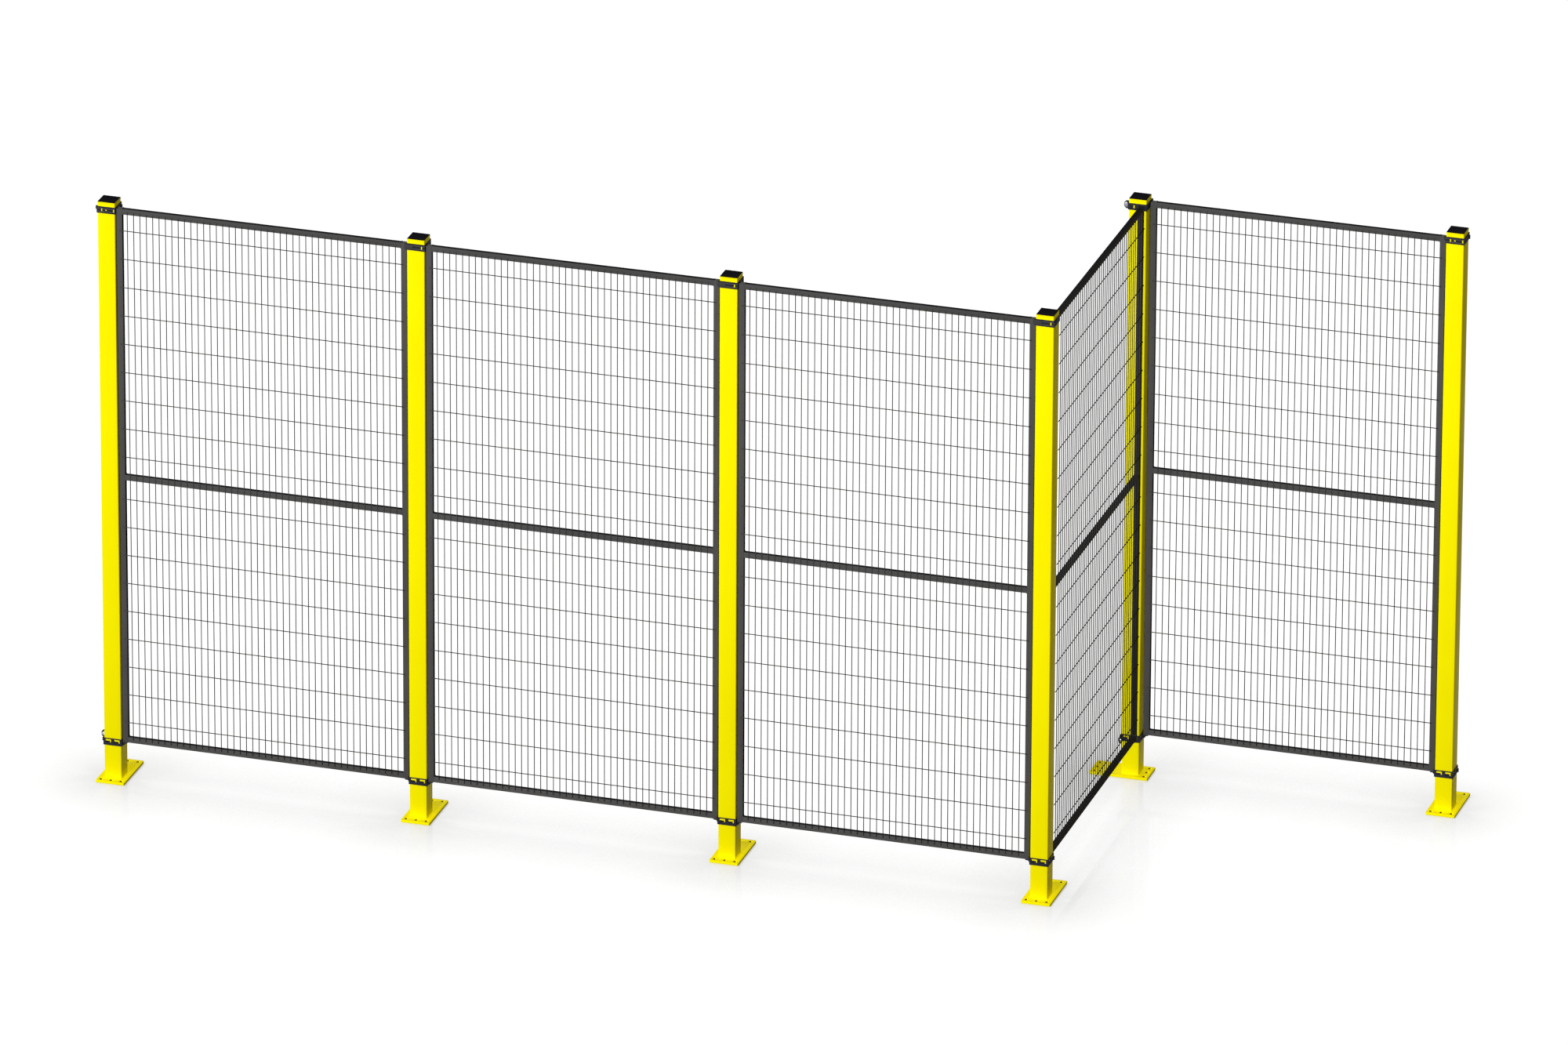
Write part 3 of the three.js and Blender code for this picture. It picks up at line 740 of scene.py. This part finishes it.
def boltHead():
    # a washer and a domed head with a cross recess, one metre across so that a point's size scales it
    height = boltSizes["headHeight"]
    share = headShares["dome"]
    washer = boltSizes["washer"]
    rim = height * headShares["rim"]
    recess = (headShares["recessLength"], boltSizes["recess"] * 2, headShares["recessWidth"], 1)
    profile = [(0, 0), (0.49, 0), (0.5, -washer * 0.3), (0.5, -washer * 0.8), (0.49, -washer),
               (0.5 * share, -washer)]
    for step in range(7):
        angle = math.pi / 2 * step / 6
        profile.append((0.5 * share * math.cos(angle) if step < 6 else 0,
                        -washer - rim - (height - washer - rim) * math.sin(angle)))
    head = linkedObject("boltHead", spunMesh("boltHead", profile))
    for turn in (0, 90):
        bar = (Matrix.Rotation(math.radians(turn), 4, "Y") @ Matrix.Translation((0, -height, 0))
               @ Matrix.Diagonal(recess))
        cutter = linkedObject("cutter", meshFrom("cutter", lambda work: bmesh.ops.create_cube(
            work, size=1, matrix=bar)))
        cut = head.modifiers.new("cut", "BOOLEAN")
        cut.object = cutter
        cut.solver = "EXACT"
        cutHead = plainPiece(head, "boltHead")
        bpy.data.objects.remove(cutter)
        head = cutHead
    return smoothed(head, 35)


def boltNut():
    # the plain shank and the chamfered nut on its end, at true size
    nutFoot = boltSizes["grip"]
    nutEnd = nutFoot + boltSizes["nutHeight"]
    lengths = ((boltSizes["shank"], -boltSizes["shankInHead"], nutEnd + boltSizes["shankPastNut"], 20),
               (boltSizes["nut"], nutFoot, nutEnd, 6))

    def build(work):
        for radius, low, high, sides in lengths:
            bmesh.ops.create_cone(work, cap_ends=True, segments=sides, radius1=radius, radius2=radius,
                                  depth=high - low, matrix=Matrix.Translation((0, (low + high) / 2, 0))
                                  @ Matrix.Rotation(math.pi / 2, 4, "X"))
    return eased("boltNut", meshFrom("boltNut", build), boltSizes["nutEdge"])


def boltPoints():
    # where each bolt's head seats, how it is turned and how wide it is, from the widest end of the CAD bolt
    headTurns = {(1, -1): 0, (0, 1): 90, (1, 1): 180, (0, -1): -90}
    rows = []
    for number in range(1, postCount + 1):
        for level in ("top", "bottom"):
            node = f"{level}_clamp_bolt_{number}"
            low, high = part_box(node)
            span = high - low
            along = 0 if abs(span.y - span.z) < abs(span.x - span.z) else 1
            seat = (low + high) / 2
            topmost = high.z - boltSizes["topReach"]
            heads = [v.co[along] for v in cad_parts[node].data.vertices if v.co.z > topmost]
            side = 1 if sum(heads) > seat[along] * len(heads) else -1
            end = high[along] if side > 0 else low[along]
            seat[along] = end - side * boltSizes["headHeight"]
            rows.append((node, seat, math.radians(headTurns[along, side]), span.z))
    return rows


def boltSet(name, part, rows, sized):
    mesh = bpy.data.meshes.new(name)
    mesh.from_pydata([seat for node, seat, turn, width in rows], [], [])
    turns = mesh.attributes.new("turn", "FLOAT_VECTOR", "POINT")
    sizes = mesh.attributes.new("size", "FLOAT_VECTOR", "POINT")
    for i, (node, seat, turn, width) in enumerate(rows):
        turns.data[i].vector = (0, 0, turn)
        sizes.data[i].vector = (width, 1, width) if sized else (1, 1, 1)
    points = linkedObject(name + "Points", mesh)
    piece = runTree(points, fasteners, {"Part": part, "Material": zincPlate}, name)
    bpy.data.objects.remove(part)
    return piece


boltRows = boltPoints()
boltHeads = boltSet("clampBoltHeads", boltHead(), boltRows, True)
boltNuts = boltSet("clampBoltNuts", boltNut(), boltRows, False)
dress(boltHeads, "posts", zincPlate, [row[0] for row in boltRows])
dress(boltNuts, "posts", zincPlate)
print("bolts made")


# panels

panelSizes = {"face": 20 * mm, "depth": 15 * mm, "wall": 1.5 * mm, "corner": 1.4 * mm, "boreCorner": 0.5 * mm,
              "edge": 0.25 * mm, "railGap": 0.3 * mm, "bite": 0.4 * mm}
lapSizes = {"thickness": 2 * mm, "height": 19 * mm, "foot": 8 * mm, "bend": 1.6 * mm, "edge": 0.3 * mm}
meshSizes = {"Wire Diameter": 3 * mm, "Upright Pitch": 22 * mm, "Upright Count": 43, "Level Pitch": 100 * mm,
             "Level Count": 9, "Level From Middle": 75 * mm, "Bite": 0.3 * mm, "Weld Size": 1.9 * mm,
             "Wire Sides": 10}
frameWeld = {"Step": 1.6 * mm, "Bead Size": 1.3 * mm, "Seed": 11}


def panelPlace(letter):
    # the panel's own frame: its lower left front corner, x along it and y to its rear; its width and height
    low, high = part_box(f"panel_{letter}_mid_rail")
    foot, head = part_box(f"panel_{letter}_mesh")
    margin = panelSizes["face"] + panelSizes["railGap"]
    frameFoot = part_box(f"panel_{letter}_frame")[0].z
    height = (foot.z + head.z) - 2 * frameFoot
    if high.y - low.y > high.x - low.x:
        corner = Vector((high.x, low.y - margin, frameFoot))
        return (Matrix.Translation(corner) @ Matrix.Rotation(math.pi / 2, 4, "Z"),
                high.y - low.y + 2 * margin, height)
    corner = Vector((low.x - margin, low.y, frameFoot))
    return Matrix.Translation(corner), high.x - low.x + 2 * margin, height


def addTube(work, start, end, place):
    # a square-cut length of the frame's tube between two points on its middle line, upright or level
    halfFace, halfDepth = panelSizes["face"] / 2, panelSizes["depth"] / 2
    wall = panelSizes["wall"]
    loops = [roundedLoop(halfFace, halfDepth, panelSizes["corner"], 4),
             roundedLoop(halfFace - wall, halfDepth - wall, panelSizes["boreCorner"], 2)]
    along = Vector(end) - Vector(start)
    turn = Matrix.Rotation(math.pi / 2, 4, "Y") if along.x > along.z else Matrix()
    solidFromLoops(work, loops, 0, along.length, place @ Matrix.Translation(start) @ turn)


def addLap(work, letter, place, width):
    # the bent plate on the right stile, in front of the next post's clamp
    low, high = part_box(f"panel_{letter}_frame")
    corner = place.translation
    front, reach, top = low.y - corner.y, high.x - corner.x, high.z
    thick, bend = lapSizes["thickness"], lapSizes["bend"]
    outline = [(width - lapSizes["foot"], 0), (width - lapSizes["foot"], -thick)]
    outline += [(width - thick, -thick), (width - thick, front + bend)]
    outline += [(width - thick + bend - bend * math.cos(a), front + bend - bend * math.sin(a))
                for a in (math.pi / 8, math.pi / 4, math.pi * 3 / 8, math.pi / 2)]
    outline += [(reach, front), (reach, front + thick), (width, front + thick), (width, 0)]
    place = place @ Matrix.Translation((0, 0, -corner.z))
    solidFromLoops(work, [outline], top - lapSizes["height"], top, place)


def framePieces(letter):
    body = f"panel_{letter}"
    place, width, height = panelPlace(letter)
    half, depth, bite = panelSizes["face"] / 2, panelSizes["depth"] / 2, panelSizes["bite"]
    inner = 2 * half - bite

    def buildFrame(work):
        for x in (half, width - half):
            addTube(work, (x, depth, 0), (x, depth, height), place)
        for z in (half, height - half):
            addTube(work, (inner, depth, z), (width - inner, depth, z), place)

    def buildRail(work):
        addTube(work, (inner, depth, height / 2), (width - inner, depth, height / 2), place)

    # painted shade: faces that look neither to the front nor to the back are marked to go near black
    def isSide(polygon):
        return abs(polygon.normal.dot(place.to_3x3().col[1])) < 0.5

    border = eased(f"panelFrame{letter.upper()}", meshFrom("frameMesh", buildFrame), panelSizes["edge"])
    rail = eased(f"midRail{letter.upper()}", meshFrom("railMesh", buildRail), panelSizes["edge"])
    for piece, node in ((border, f"{body}_frame"), (rail, f"{body}_mid_rail")):
        markFaces(piece, "paintedShade", isSide)
        dress(piece, body, frameCoat, [node])
    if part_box(f"{body}_frame")[1].z > place.translation.z + height:
        lapMesh = meshFrom("lapMesh", lambda work: addLap(work, letter, place, width))
        lap = eased(f"lapPlate{letter.upper()}", lapMesh, lapSizes["edge"])
        markFaces(lap, "paintedShade", isSide)
        dress(lap, body, lapCoat)


def meshPiece(letter, seed):
    place, width, height = panelPlace(letter)
    low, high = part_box(f"panel_{letter}_mesh")
    wire = meshSizes["Wire Diameter"]
    source = linkedObject("meshSource", bpy.data.meshes.new("meshSource"))
    values = {**meshSizes, "Upright Length": high.z - low.z,
              "Level Length": max(high.x - low.x, high.y - low.y), "Seed": seed, "Material": wireCoat}
    piece = runTree(source, wirePanel, values, f"panelMesh{letter.upper()}")
    piece.data.transform(place @ Matrix.Translation((width / 2, -wire / 2, height / 2)))
    return dress(piece, f"panel_{letter}", wireCoat, [f"panel_{letter}_mesh"])


def frameWelds(letter):
    # beads in the four inner corners and round both ends of the middle rail, behind the mesh
    place, width, height = panelPlace(letter)
    tube, rear = panelSizes["face"], panelSizes["depth"]
    runs = []
    for x in (tube, width - tube):
        for z, wayZ in ((tube, 1), (height - tube, -1)):
            runs.append([(x, 0, z), (x, rear, z)])
            runs.append([(x, rear, z), (x, rear, z - wayZ * tube)])
        for z in (height / 2 - tube / 2, height / 2 + tube / 2):
            runs.append([(x, 0, z), (x, rear, z)])
        runs.append([(x, rear, height / 2 - tube / 2), (x, rear, height / 2 + tube / 2)])
    runs = [[place @ Vector(point) for point in run] for run in runs]
    path = curveObject("frameWeldPath", runs, False)
    piece = runTree(path, weldBead, {**frameWeld, "Material": frameCoat}, f"frameWelds{letter.upper()}")
    return dress(piece, f"panel_{letter}", frameCoat)


for number, letter in enumerate(panelLetters):
    framePieces(letter)
    frameWelds(letter)
    meshPiece(letter, 20 + number)
print("panels made")


# floor, light and camera

# the contact levels paint a contact shadow into the floor's glow, from how closed in each spot is
floorLook = {"size": 60.0, "glow": 0.96, "shade": 0.1, "contactReach": 0.35,
             "contact": [(0.0, 1.0), (0.06, 0.8), (0.25, 0.8), (0.6, 0.74), (0.9, 0.05)],
             "gloss": 0.03, "glossEnd": -1.6, "glossFull": -0.6, "glossRoughness": 0.06,
             "contactGloss": 0.3, "contactFrom": 0.12, "contactTo": 0.4,
             "bounce": (0.18, 0.16, 0.12, 1.0)}
lampLook = {"sunFrom": (-0.36, -0.74, 0.57), "skyStrength": 0.24, "skyColour": (1.0, 0.9, 0.74, 1.0),
            "suns": {"key": {"strength": 0.4, "angle": 40.0, "shadow": True},
                     "fill": {"strength": 3.0, "angle": 5.0, "shadow": False}}}
cameraLook = {"fromCorner": (16963.95, -47004.71, 21789.55), "azimuth": 17.267, "elevation": 22.683,
              "roll": 0.263, "lens": 377.33, "sensor": 36.0, "clip": (1.0, 300.0)}


def seenDirectly(tree):
    # one to the camera and in reflections, nothing for bounced light
    rays = addNode(tree, "ShaderNodeLightPath").outputs
    return maths(tree, "MAXIMUM", rays["Is Camera Ray"],
                 maths(tree, "MAXIMUM", rays["Is Glossy Ray"], rays["Is Transmission Ray"]))


def floorMaterial():
    # white to the camera and in reflections, grey close to what stands on it, and dimmer as bounced light;
    # it is glossiest close to what stands on it, and its gloss fades towards the front
    material = bpy.data.materials.new("studioFloor")
    material.use_nodes = True
    tree = material.node_tree
    tree.nodes.clear()
    seen = seenDirectly(tree)
    # painted contact shadow: occlusion greys the floor's glow close to what stands on it
    nearby = addNode(tree, "ShaderNodeAmbientOcclusion", {"Distance": floorLook["contactReach"]}, samples=8)
    closed = maths(tree, "SUBTRACT", 1.0, nearby.outputs["AO"])
    ramp = addNode(tree, "ShaderNodeValToRGB", {0: closed})
    stops = ramp.color_ramp.elements
    for i, (share, level) in enumerate(floorLook["contact"]):
        stop = stops[i] if i < 2 else stops.new(share)
        stop.position = share
        stop.color = (level, level, level, 1)
    strength = maths(tree, "MULTIPLY", ramp.outputs["Color"], floorLook["glow"])
    shade = addNode(tree, "ShaderNodeBsdfDiffuse", {"Color": (floorLook["shade"],) * 3 + (1,)})
    glow = addNode(tree, "ShaderNodeEmission", {"Color": (1, 1, 1, 1), "Strength": strength})
    bright = addNode(tree, "ShaderNodeAddShader", {0: shade.outputs[0], 1: glow.outputs[0]})
    gloss = addNode(tree, "ShaderNodeBsdfGlossy", {"Roughness": floorLook["glossRoughness"]})
    place = addNode(tree, "ShaderNodeTexCoord").outputs["Object"]
    depth = addNode(tree, "ShaderNodeSeparateXYZ", {0: place}).outputs["Y"]
    fade = mapped(tree, depth, floorLook["glossEnd"], floorLook["glossFull"], toMax=floorLook["gloss"],
                  interpolation_type="SMOOTHSTEP")
    extra = mapped(tree, closed, floorLook["contactFrom"], floorLook["contactTo"],
                   toMax=floorLook["contactGloss"])
    weight = maths(tree, "ADD", extra, fade)
    shown = addNode(tree, "ShaderNodeMixShader", {0: weight, 1: bright.outputs[0], 2: gloss.outputs[0]})
    bounce = addNode(tree, "ShaderNodeBsdfDiffuse", {"Color": floorLook["bounce"]})
    final = addNode(tree, "ShaderNodeMixShader", {0: seen, 1: bounce.outputs[0], 2: shown.outputs[0]})
    addNode(tree, "ShaderNodeOutputMaterial", {"Surface": final.outputs[0]})
    return material


def buildFloor():
    half = floorLook["size"] / 2
    mesh = bpy.data.meshes.new("floor")
    mesh.from_pydata([(-half, -half, 0), (half, -half, 0), (half, half, 0), (-half, half, 0)], [],
                     [(0, 1, 2, 3)])
    floor = linkedObject("floor", mesh)
    floor.data.materials.append(floorMaterial())


def buildWorld():
    world = bpy.data.worlds.new("studio")
    bpy.context.scene.world = world
    world.use_nodes = True
    tree = world.node_tree
    tree.nodes.clear()
    seen = seenDirectly(tree)
    strength = mapped(tree, seen, toMin=lampLook["skyStrength"])
    colour = mixColour(tree, seen, lampLook["skyColour"], (1.0, 1.0, 1.0, 1.0))
    sky = addNode(tree, "ShaderNodeBackground", {"Color": colour, "Strength": strength})
    addNode(tree, "ShaderNodeOutputWorld", {"Surface": sky.outputs[0]})


def buildSuns():
    # a soft key that casts shadows, and a fill from the same side that fills them up
    for name, look in lampLook["suns"].items():
        lamp = bpy.data.lights.new(name, "SUN")
        lamp.energy = look["strength"]
        lamp.angle = math.radians(look["angle"])
        lamp.use_shadow = look["shadow"]
        sun = bpy.data.objects.new(name, lamp)
        sun.rotation_euler = Vector(lampLook["sunFrom"]).to_track_quat("Z", "Y").to_euler()
        bpy.context.scene.collection.objects.link(sun)


def buildCamera():
    # measured from the photograph, from the front left corner of the first post's foot
    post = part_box("post_1")[0]
    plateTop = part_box("base_plate_1")[1].z
    data = bpy.data.cameras.new("camera")
    data.sensor_width = cameraLook["sensor"]
    data.lens = cameraLook["lens"]
    data.clip_start, data.clip_end = cameraLook["clip"]
    camera = bpy.data.objects.new("camera", data)
    bpy.context.scene.collection.objects.link(camera)
    corner = Vector((post.x, post.y, plateTop))
    camera.location = corner + Vector(cameraLook["fromCorner"]) * mm
    azimuth, elevation, roll = (math.radians(cameraLook[key]) for key in ("azimuth", "elevation", "roll"))
    back = Vector((math.sin(azimuth) * math.cos(elevation), -math.cos(azimuth) * math.cos(elevation),
                   math.sin(elevation)))
    upright = (-back).to_track_quat("-Z", "Y")
    camera.rotation_mode = "QUATERNION"
    camera.rotation_quaternion = upright @ Matrix.Rotation(roll, 3, "Z").to_quaternion()
    bpy.context.scene.camera = camera


buildFloor()
buildWorld()
buildSuns()
buildCamera()
bpy.context.scene.view_settings.view_transform = "Standard"

print("scene made")
